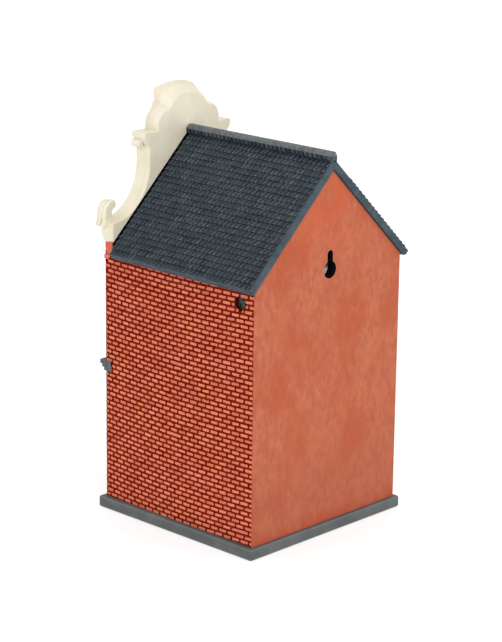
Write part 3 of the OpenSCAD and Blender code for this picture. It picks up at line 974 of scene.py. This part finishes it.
def gable_gap(side, word):
    """A near-black strip in the gap between the gable's back and the roof, down to just under the eaves:
    painted shadow.
    """
    mesh = Sculpt()
    board(mesh, side, (0, DECK_AT_WALL), (0.3, DECK_T + 0.7), (PANEL_BACK_Y - 0.3, GAP_END + 0.3), 0.1,
          mitre=True)
    strip = [(HALF_W - 5, SOFFIT_AT_WALL - 5), (HALF_W + 0.2, SOFFIT_AT_WALL - 5),
             (HALF_W + 0.2, SOFFIT_AT_WALL + 5), (HALF_W - 5, SOFFIT_AT_WALL + 9)]
    mesh.prism(strip, along_y(side), PANEL_BACK_Y - 0.3, GAP_END + 1.2, 0.1)
    mesh.make("gable_gap_" + word, SHADE, "slate")


def lap_ends(mesh, side):
    """The ends of the rows of tiles, which show as low steps along the far verge."""
    top = DECK_T + TRIM_T
    butt = EAVE_RUN - TILE_OVERHANG - TILE_L
    while butt > LAPS_FROM:
        head = butt - TILE_L * 0.9
        step = [(head, top - 0.3), (butt, top - 0.3), (butt, top + VERGE_LAP), (head, top - 0.1)]
        mesh.prism(step, lambda run, h, y: roof_point(side, run, y, h), ROOF_END_Y - VERGE_LIP,
                   ROOF_END_Y - 0.1, 0.2)
        butt -= TILE_L


def borders(side, word):
    """The verge board with its raised lip, and the eave board. On the far side their foot is cut level."""
    cut, drop = (0.0, EAVE_DROP) if side > 0 else (FAR_CUT, 0.0)
    verge = Sculpt()
    for rise, start, end, width in ((VERGE_RISE, VERGE_W, 0.5, 0.2), (TRIM_T, VERGE_LIP, 0.0, 0.5)):
        board(verge, side, (0, EAVE_RUN), (0, DECK_T + rise), (ROOF_END_Y - start, ROOF_END_Y - end), width,
              mitre=True, cut=cut)
    if side < 0:
        lap_ends(verge, side)
    else:
        ridge_end(verge)
    verge.make("verge_board_" + word, BORDER, "slate", ("verge_border_" + word,))
    eave = Sculpt()
    board(eave, side, (EAVE_RUN - EAVE_TRIM_W, EAVE_RUN), (-drop, DECK_T + 0.5),
          (GAP_END + cut_back(EAVE_RUN), ROOF_END_Y - 0.6), 0.5, cut=cut)
    eave.make("eave_board_" + word, BORDER, "slate", ("eave_border_" + word,))


CAP_HALF = ridge_high.x
CAP_TOP = ridge_high.z + CAP_RISE
CAP_FOOT = CAP_TOP - CAP_H
BED_Z = CAP_FOOT - BED_H


def ridge_end(mesh):
    """The block that closes the ridge's back end under its capping."""
    block = rectangle(-CAP_HALF, BED_Z, CAP_HALF, CAP_FOOT + 0.3)
    mesh.prism(block, flat, ROOF_END_Y - VERGE_W, ROOF_END_Y, 0.2)


def ridge_capping(rng):
    """The ridge tiles, the last of them with a lower nose that rounds the roof's back end."""
    edge = [(CAP_HALF, CAP_FOOT), (CAP_HALF, CAP_TOP - 1.4), (CAP_HALF - 0.5, CAP_TOP - 0.5),
            (CAP_HALF - 1.3, CAP_TOP - 0.05)]
    opposite = [(-x, z) for x, z in reversed(edge)]
    cap = opposite[-1:] + edge + [(0, CAP_TOP)] + opposite[:-1]
    start = GAP_END + 0.6
    count = round((ROOF_END_Y - start) / RIDGE_TILE_L)
    length = (ROOF_END_Y - start) / count
    mesh = Sculpt()
    for i in range(count):
        y0 = start + i * length + (RIDGE_JOINT if i else 0)
        y1 = start + (i + 1) * length - (NOSE_L if i == count - 1 else 0)
        mesh.prism(cap, flat, y0, y1, 0.25, (0.3, rng.random(), 0.0))
    nose = [(x * 0.96, max(CAP_FOOT + 0.1, z - NOSE_DROP)) for x, z in cap]
    mesh.prism(nose, flat, ROOF_END_Y - 3, ROOF_END_Y, 0.45, SUNK)
    mesh.make("ridge_capping", RIDGE, "ridge", ("ridge_cap",))


def ridge_bedding(rng):
    """Hollows under the capping, darkened by painted shade, between lumps of bedding on the tiles' rolls."""
    core = rectangle(0.7 - CAP_HALF, BED_Z, CAP_HALF - 0.7, CAP_FOOT + 0.5)
    hollows = Sculpt()
    # A core under the capping whose wash paints shade into the gaps between the lumps.
    hollows.prism(core, flat, PANEL_BACK_Y, ROOF_END_Y - 1, 0.1, (0.0, 0.5, 0.5))
    hollows.make("ridge_hollow_shade", SLATE, "slate")
    bedding = Sculpt()
    for i in range(COLUMNS):
        for side, _ in SIDES:
            y = column_edge(i + ROLL_PEAK / 2 + ROLL_SLANT / 2 + rng.uniform(-0.08, 0.08))
            reach = rng.uniform(0.24, 0.36) * (column_edge(i + 1) - column_edge(i))
            low = CAP_FOOT - rng.uniform(1.6, 2.4)
            lump = [(CAP_HALF - 1.2, BED_Z), (CAP_HALF + 0.4, low), (CAP_HALF - 0.1, CAP_FOOT + 0.3),
                    (CAP_HALF - 1.2, CAP_FOOT + 0.3)]
            lean = LUMP_LEAN * rng.uniform(0.6, 1.2)
            bedding.prism(lump, lambda x, z, y: Vector((side * x, y + lean * (z - low), z)),
                          y - reach, y + reach, 0.4, (rng.uniform(0.2, 0.6), rng.random(), 0.0))
    bedding.make("ridge_bedding", SLATE, "slate")


# ---- Gable ----

LIP_Y = PANEL_BACK_Y - 4.0
LIP = 0.45
BAND_W = 3.0
SWEEP_STEPS = 24
SWEEP_TURN = 82
# Outlines of X and Z values from the wall's face and the foot of the sweep. The console's are Y and Z.
SCROLL_STEM = ((-6.4, -2.0), (-6.0, 1.0), (-4.6, 2.6), (-3.6, 5.4), (-3.7, 7.4), (-4.7, 8.7), (-6.2, 9.5),
               (-7.2, 11.0), (-6.9, 12.6), (-5.3, 13.8), (-2.5, 13.7), (0.5, 12.2), (2.2, 9.6), (2.8, 6.0),
               (2.7, 2.0), (2.0, -3.0))
LEAF_PATH = ((-6.9, 10.6), (-7.2, 12.0), (-6.1, 13.6), (-3.7, 14.3), (-0.9, 13.8), (1.7, 11.8), (3.0, 8.8),
             (3.4, 5.5), (3.6, 1.6), (5.4, -1.9))
CONSOLE = ((-3.8, -2.0), (-4.1, -7.2), (-3.7, -9.2), (-3.2, -10.5), (-2.2, -12.4), (-1.2, -13.3),
           (-0.1, -13.9), (6.8, -12.6), (6.8, -2.0))
LEAF_T = 1.6
LEAF_STEPS = 32
LEAF_LOBES = 5
# The leaf's grooves: place across it, depth and width.
GROOVES = ((0.36, 1.05, 0.15), (-0.36, 0.6, 0.13))
GROOVE_LEAN = 0.45
TOP_RISE = 0.75


def sweep_moulding(side, word):
    """The band along the neck and the sweep, which stands proud of the gable panel's edge."""
    section = [(-0.6, LIP_Y + 0.1), (0.3, LIP_Y), (LIP, LIP_Y - 0.4), (LIP, MOULDING_Y + 1.0),
               (0.1, MOULDING_Y + 0.2), (-0.6, MOULDING_Y), (0.7 - BAND_W, MOULDING_Y),
               (0.15 - BAND_W, MOULDING_Y + 0.4), (-BAND_W, MOULDING_Y + 1.1), (-BAND_W, FRONT_Y + 0.5),
               (-1.2, FRONT_Y + 0.5)]
    width, rise = HALF_W - NECK, NECK_FOOT - SWEEP_LOW
    path = [(Vector((NECK, z)), Vector((1, 0))) for z in (SHOULDER_TOP - 6, NECK_FOOT + 1)]
    for i in range(SWEEP_STEPS + 1):
        a = math.radians(90 - SWEEP_TURN * i / SWEEP_STEPS)
        point = Vector((HALF_W - width * math.sin(a), NECK_FOOT - rise * math.cos(a)))
        path.append((point, Vector((rise * math.sin(a), width * math.cos(a))).normalized()))
    place = along_y(side)
    rings = [[place(*(point + out * n), y) for n, y in section] for point, out in path]
    mesh = Sculpt()
    mesh.skin(rings, [PROUD] * len(rings), side < 0)
    mesh.make("sweep_band_" + word, CREAM, "cream", ("sweep_moulding_" + word,))


def leaf_relief(q, share):
    """How far the leaf lies under its outline at q, from -1 at its front edge to 1 at its back, and how
    deep in a groove that is. share runs from the knob to the leaf's tip."""
    groove = 0.0
    for at, deep, wide in GROOVES:
        notched = 0.75 + 0.25 * math.sin(share * 26 + at * 9)
        groove += deep * notched * math.exp(-((q - at - GROOVE_LEAN * (0.55 - share)) / wide) ** 2)
    edge = 1.7 * (max(0.0, q - 0.55) / 0.45) ** 2 + 0.7 * (max(0.0, -q - 0.7) / 0.3) ** 2
    rise = TOP_RISE * (1 + q) * max(0.0, 1 - abs(share - 0.3) / 0.3)
    return groove + edge - rise, groove


def add_leaf(mesh, place, flip):
    """The grooved leaf that lies along the outside of a scroll, narrower and nearer the back at its knob."""
    path = curve(LEAF_PATH, 6)
    middle_y, half_y = (MOULDING_Y + LIP_Y) / 2, (LIP_Y - MOULDING_Y) / 2
    rings = []
    paint = []
    for i, (point, n) in enumerate(zip(path, normals(path))):
        share = i / (len(path) - 1)
        opened = min(1, share * 3.5)
        reach = half_y * (0.72 + 0.28 * opened)
        reach *= 0.97 - 0.03 * math.cos(share * 2 * math.pi * LEAF_LOBES)
        ring = []
        for k in range(LEAF_STEPS + 1):
            q = 2 * k / LEAF_STEPS - 1
            low, groove = leaf_relief(q, share)
            ring.append((point + n * low, q))
            paint.append((1.0, 0.5, min(1.0, 1.3 * groove)))
        for q in (0.92, 0.3, -0.3, -0.92):
            ring.append((point + n * (LEAF_T + (q > 0.5)), q))
            paint.append((1.0, 0.5, 0.4))
        rings.append([place(*p, middle_y + 0.3 * half_y * (1 - opened) + q * reach) for p, q in ring])
    mesh.skin(rings, paint, flip)


def scroll(side, word):
    """The scroll at the gable's foot: a stem that curls inwards under a grooved leaf, on a console."""
    def local(x, z, y):
        return Vector((side * (HALF_W + x), y, SWEEP_LOW + z))

    mesh = Sculpt()
    stem = [Vector(SCROLL_STEM[0])] + curve(SCROLL_STEM[1:-1], 3) + [Vector(SCROLL_STEM[-1])]
    mesh.prism(stem, local, MOULDING_Y + 0.8, LIP_Y - 0.2, 0.6, (1.0, 0.5, 0.15))
    console = [(FRONT_Y + y, z) for y, z in CONSOLE]
    mesh.prism(console, lambda y, z, x: local(x, z, y), -6.0, 0.25, 0.6, (1.0, 0.5, 0.05), segments=3)
    add_leaf(mesh, local, side < 0)
    mesh.make("scroll_leaf_" + word, CREAM, "cream", ("gable_scroll_" + word,))


# How much further out each side's ledge reaches than its CAD node.
LEDGE_EXTRA = {1: -0.6, -1: 0.4}


def shoulder(side, word):
    """The shoulder's ledge, with a splay under its back half and a small roll under its front half."""
    inner = NECK - 2
    out = ledge_high.x + LEDGE_EXTRA[side]
    top = SHOULDER_TOP - SKIN
    front, back, middle = MOULDING_Y, PANEL_BACK_Y + SKIN, FRONT_Y + 3
    splay = [(inner, top - 11.0), (NECK, top - 11.0), (NECK + 0.6, top - 9.8), (out - 0.7, top - 5.2),
             (out - 0.2, top - 3.4), (inner, top - 3.4)]
    slab = [(inner, top - 4.0), (out - 0.3, top - 4.0), (out, top - 3.4), (out, top - 0.9),
            (out - 0.3, top - 0.3), (out - 0.9, top), (inner, top)]
    neck = [(inner, top - 8), (out - 1.6, top - 8), (out - 1.0, top - 3.5), (inner, top - 3.5)]
    tail = [(inner, top - 13), (NECK + 0.4, top - 13), (NECK + 2.4, top - 9), (NECK + 2.4, top - 3.5),
            (inner, top - 3.5)]
    under_roll = arc(out - 1.5, top - 8.0, 2.9, 0, 345, 23)
    mesh = Sculpt()
    for outline, y0, y1, width, segments in ((splay, FRONT_Y + 2.4, back, 0.5, 2),
                                             (slab, front + SKIN, back, 0.8, 3),
                                             (neck, front + 0.9, middle, 0.4, 2),
                                             (tail, front + 0.3, middle, 0.5, 2),
                                             (under_roll, front + 0.2, middle, 0.7, 3)):
        mesh.prism(outline, along_y(side), y0, y1, width, segments=segments)
    mesh.make("shoulder_ledge_" + word, CREAM, "cream", ("shoulder_cornice_" + word,))


DOME_R = 22.8
DOME_DROP = 7.0
BULGE_R = 10.2
BULGE_X = 19.4
BULGE_LIFT = 3.4
NOTCH_AT = 93
PEDIMENT_STEPS = 16
CROWN_FOOT = 1.0
BELLY = 1.0
# The front's half outline up to its waist, and from there to its top on the right and on the left.
FRONT_OUTLINE_LOW = ((28.2, 0.0), (27.9, 4.2), (26.8, 8.2), (24.9, 10.7), (21.9, 14.5), (21.6, 16.8),
                     (19.4, 19.0))
FRONT_OUTLINE_RIGHT = ((19.4, 19.0), (20.0, 21.6), (20.5, 24.6), (19.8, 27.1), (17.4, 28.2), (14.4, 28.4),
                       (11.6, 29.2), (6.6, 30.0), (0.0, 30.4))
FRONT_OUTLINE_LEFT = ((19.4, 19.0), (19.9, 21.6), (20.0, 23.6), (18.8, 25.6), (16.8, 27.1), (14.2, 28.0),
                      (11.6, 28.9), (6.6, 30.0), (0.0, 30.4))
BACK_ASIDE = -1.0
FRONT_ASIDE = 0.4
# The wash on the front half of the crown's top is painted shade, where that half turns away from the light.
FRONT_SHADE_WASH = 0.37
# The crown's stations from its back to its front: share of its depth, and inset of its rounded edge.
CROWN_STATIONS = ((0.008, 0.75), (0.025, 0.35), (0.07, 0.0), (0.2, 0.0), (0.35, 0.0), (0.5, 0.0),
                  (0.65, 0.0), (0.78, 0.0), (0.88, 0.0), (0.95, 0.0), (0.985, 0.3), (1.0, 0.9))
RIM_W = 2.6
# The sunk field inside the front's rim: how far it shrinks, share of the depth, and wash.
FIELD_STATIONS = ((0.025, 0.95, 0.5), (0.06, 0.9, 0.9), (0.1, 0.89, 0.2))
FIELD_MIDDLE = Vector((0.0, 11.0))


def pediment_outlines():
    """Half the pediment from its foot to its top: on its back, and on its front at the right and left."""
    dome_z = crest_high.z - SHOULDER_TOP - DOME_DROP - DOME_R
    foot = math.degrees(math.asin(-BULGE_LIFT / BULGE_R))
    bulge = arc(BULGE_X, BULGE_LIFT, BULGE_R, foot, NOTCH_AT, 24)
    notch = bulge[-1]
    start = math.degrees(math.atan2(notch[1] - dome_z, notch[0]))
    dome = [notch] + arc(0, dome_z, DOME_R, start, 90, 24)[1:]
    back = resampled(bulge, PEDIMENT_STEPS)[:-1] + resampled(dome, PEDIMENT_STEPS)
    low = resampled(curve(FRONT_OUTLINE_LOW, 6), PEDIMENT_STEPS)[:-1]
    right, left = [low + resampled(curve(high, 6), PEDIMENT_STEPS)
                   for high in (FRONT_OUTLINE_RIGHT, FRONT_OUTLINE_LEFT)]
    return back, right, left


def inset(half, distance):
    """A half outline moved inwards, with its foot kept on the shoulders and its top in the middle."""
    made = []
    for point, out in zip(half, normals(half)):
        moved = point - out * distance
        made.append(Vector((max(moved.x, 0.0), max(moved.y, 0.0))))
    made[0].y = 0.0
    made[-1].x = 0.0
    return made


def crown_stations(back, front):
    """Half outlines of the crown from back to front, each with its share of the depth and its wash."""
    made = [(inset(back, 1.2), 0.0, 0.0)]
    for share, edge in CROWN_STATIONS:
        half = []
        for k, (b, f, out) in enumerate(zip(back, front, normals(back))):
            upper = min(1.0, max(0.0, (k / PEDIMENT_STEPS - 0.7) / 0.6))
            flared = b.lerp(f, share ** (1.7 - 0.7 * upper))
            half.append(flared + out * BELLY * (1 - upper) * math.sin(math.pi * share))
        made.append((inset(half, edge), share, FRONT_SHADE_WASH if share > 0.55 else 0.0))
    rim = inset(front, RIM_W)
    made.append((rim, 1.0, FRONT_SHADE_WASH))
    for shrink, share, wash in FIELD_STATIONS:
        field = [p.lerp(FIELD_MIDDLE, shrink) for p in rim]
        field[0].y = 0.0
        made.append((field, share, wash))
    return made


def pediment():
    """The crown of the gable: a dome between two round shoulders that flares out to its crest."""
    back, front_right, front_left = pediment_outlines()
    rings = []
    paint = []
    for right, left in zip(crown_stations(back, front_right), crown_stations(back, front_left)):
        share, wash = right[1:]
        aside = BACK_ASIDE + (FRONT_ASIDE - BACK_ASIDE) * share
        y = PANEL_BACK_Y + SKIN + (MOULDING_Y - PANEL_BACK_Y - SKIN) * share
        right_half, left_half = [[Vector((half[0].x, -CROWN_FOOT))] + half for half in (right[0], left[0])]
        ring = [(p.x, p.y) for p in right_half] + [(-p.x, p.y) for p in left_half[-2::-1]]
        rings.append([flat(aside + x, SHOULDER_TOP + z, y) for x, z in ring])
        paint.append((1.0, 0.5, wash))
    mesh = Sculpt()
    mesh.skin(rings, paint, True)
    mesh.make("pediment_shell", CREAM, "cream", ("pediment", "pediment_crest"), sharp=60)


# ---- Front ----

BAR = 1.1
BAR_REACH = 0.3
# A door panel's bottom and top as shares of the door's height.
PANEL_LEVELS = ((0.06, 0.4), (0.45, 0.93))
# A panel's raised steps: how far in from its edge, and how proud.
PANEL_STEPS = ((0.0, 0.35), (1.3, 0.7))
RING_STEPS = 96


def glazing(node, rows, name):
    """Glazing bars in front of a pane, in one piece."""
    low, high = cad(node)
    middle = (low.x + high.x) / 2
    bars = [(middle - BAR / 2, low.z - BAR_REACH, middle + BAR / 2, high.z + BAR_REACH)]
    for i in range(1, rows):
        z = low.z + (high.z - low.z) * i / rows
        bars.append((low.x - BAR_REACH, z - BAR / 2, high.x + BAR_REACH, z + BAR / 2))
    mesh = Sculpt()
    for bar in bars:
        mesh.prism(rectangle(*bar), flat, low.y - 0.9, low.y + 0.2, 0.3)
    mesh.make(name, CREAM, "cream")


def window(level, word, rows):
    """A blind window: its frame, glazing bars, sill and pane. word is empty where there is only one."""
    softened(f"{level}_frame{word}", f"{level}_window_frame{word}", 0.4, CREAM, "cream")
    glazing(f"{level}_pane{word}", rows, f"{level}_bars{word}")
    softened(f"{level}_sill{word}", f"{level}_window_sill{word}", 0.5, GREY, "grey_trim")
    paint_faces(cad_mesh(f"{level}_pane{word}"), (PANE, None))


def door():
    """The door with four raised panels and a knob, in its surround, with a fanlight and a step."""
    softened("door_frame", "door_surround", 0.4, CREAM, "cream")
    softened("door_step", "door_step_stone", 0.6, GREY, "grey_trim")
    glazing("fanlight", 1, "fanlight_bar")
    paint_faces(cad_mesh("fanlight"), (PANE, None))
    low, high = cad("front_door")
    width, height = high.x - low.x, high.z - low.z
    mesh = Sculpt()
    mesh.prism(rectangle(low.x, low.z, high.x, high.z), flat, low.y, high.y, 0.2)
    for column in (0, 1):
        x = low.x + width * (0.1 + 0.45 * column)
        for bottom, top in PANEL_LEVELS:
            for edge, rise in PANEL_STEPS:
                panel = rectangle(x + edge, low.z + height * bottom + edge, x + width * 0.35 - edge,
                                  low.z + height * top - edge)
                mesh.prism(panel, flat, low.y - rise, low.y + 0.3, 0.25)
    knob = arc(low.x + width * 0.93, low.z + height * 0.44, 0.9, 0, 330, 11)
    mesh.prism(knob, flat, low.y - 1.2, low.y + 0.2, 0.35)
    mesh.make("panelled_door", DOOR, "door", ("front_door",))


def entrance_ring():
    """The moulded ring around the entrance hole."""
    low, high = cad("entrance_ring")
    middle = (low + high) / 2
    outer = (high.x - low.x) / 2
    inner = min(math.hypot(p.x - middle.x, p.z - middle.z) for p in cad_points("entrance_ring"))
    section = [(inner, high.y + 0.5), (inner, low.y + 0.7), (inner + 0.3, low.y + 0.15),
               (inner + 0.9, low.y), (outer - 1.3, low.y), (outer - 0.5, low.y + 0.3),
               (outer, low.y + 1.0), (outer, high.y + 0.5)]
    count = len(section)
    points = []
    faces = []
    for i in range(RING_STEPS):
        a = 2 * math.pi * i / RING_STEPS
        points += [Vector((middle.x + r * math.cos(a), y, middle.z + r * math.sin(a))) for r, y in section]
        here, there = i * count, (i + 1) % RING_STEPS * count
        faces += [(here + k, there + k, there + (k + 1) % count, here + (k + 1) % count)
                  for k in range(count)]
    mesh = Sculpt()
    mesh.add(points, faces, [PROUD] * len(points))
    mesh.make("entrance_surround", CREAM, "cream", ("entrance_ring",))


# ---- The whole ----

def string_course():
    """The grey moulding between the storeys, a little lower than its CAD node."""
    string = softened("string_course", "string_moulding", 0.35, GREY, "grey_trim")
    paint_faces(string.data, (BORE, lambda n, p: n.y > 0.5 and abs(p.x) > HALF_W), (GREY, None))
    string.data.transform(Matrix.Translation((0, 0, -STRING_DROP * MM)))


def house():
    softened("base_plate", "plinth", 1.5, PLINTH, "plinth", 4)
    walls()
    corners()
    vent_webs()
    brick_sides()
    brick_front()
    brick_neck()
    string_course()
    softened("gable_panel", "gable_wall", 0.8, CREAM, "cream", 3)
    softened("gable_cornice", "gable_moulding", 0.5, CREAM, "cream")
    for make in (deck, gable_gap, borders, pantiles, sweep_moulding, scroll, shoulder):
        for side, word in SIDES:
            make(side, word)
    ridge_rng = random.Random(3)
    ridge_capping(ridge_rng)
    ridge_bedding(ridge_rng)
    pediment()
    for level in ("ground", "upper"):
        for _, word in SIDES:
            window(level, "_" + word, 4)
    window("attic", "", 3)
    door()
    entrance_ring()


# ---- Stage ----

# The camera, solved from the photograph's straight edges.
CAMERA_PLACE = Vector((1077.8, 1028.6, 555.6))
CAMERA_YAW = math.radians(46.308)
CAMERA_PITCH = math.radians(15.768)
CAMERA_ROLL = math.radians(0.687)
CAMERA_LENS = 126.76
KEY_PLACE = Vector((840, 1620, 1380))
KEY_AIM = Vector((0, 0, 150))
KEY_SIZE = 1200
KEY_WATTS = 10.3
FLOOR_REACH = 30000
WHITE = (1, 1, 1, 1)


def camera():
    ahead = -Vector((math.sin(CAMERA_YAW) * math.cos(CAMERA_PITCH),
                     math.cos(CAMERA_YAW) * math.cos(CAMERA_PITCH), math.sin(CAMERA_PITCH)))
    right = ahead.cross(Vector((0, 0, 1))).normalized()
    up = right.cross(ahead)
    level = Matrix((right, up, -ahead)).transposed()
    turned = Matrix.Rotation(CAMERA_ROLL, 3, -ahead) @ level
    data = bpy.data.cameras.new("camera")
    data.sensor_width = 36
    data.lens = CAMERA_LENS
    data.clip_end = 100
    made = placed("camera", data)
    made.matrix_world = Matrix.Translation(CAMERA_PLACE * MM) @ turned.to_4x4()
    bpy.context.scene.camera = made


def key_light():
    data = bpy.data.lights.new("key", "AREA")
    data.shape = "DISK"
    data.size = KEY_SIZE * MM
    data.energy = KEY_WATTS
    made = placed("key", data)
    made.location = KEY_PLACE * MM
    made.rotation_mode = "QUATERNION"
    made.rotation_quaternion = (KEY_AIM - KEY_PLACE).to_track_quat("-Z", "Y")


def ground():
    """A plain pale floor, lit a little from within so that it fades into the white around it."""
    mesh = bpy.data.meshes.new("floor")
    reach = FLOOR_REACH * MM
    mesh.from_pydata([(x, y, 0) for x, y in rectangle(-reach, -reach, reach, reach)], [], [(0, 1, 2, 3)])
    floor = placed("floor", mesh)
    pale = bpy.data.materials.new("pale_floor")
    pale.use_nodes = True
    inputs = pale.node_tree.nodes["Principled BSDF"].inputs
    for name, value in (("Base Color", (0.7, 0.7, 0.7, 1)), ("Roughness", 0.9), ("Specular IOR Level", 0.0),
                        ("Emission Color", WHITE), ("Emission Strength", 0.44)):
        inputs[name].default_value = value
    mesh.materials.append(pale)


def studio():
    """Soft white light from all around, shown as it is."""
    world = bpy.data.worlds.new("studio")
    world.use_nodes = True
    background = world.node_tree.nodes["Background"]
    background.inputs["Color"].default_value = WHITE
    background.inputs["Strength"].default_value = 1.0
    scene = bpy.context.scene
    scene.world = world
    scene.view_settings.view_transform = "Standard"
    scene.view_settings.look = "None"


camera()
ground()
studio()
key_light()
house()
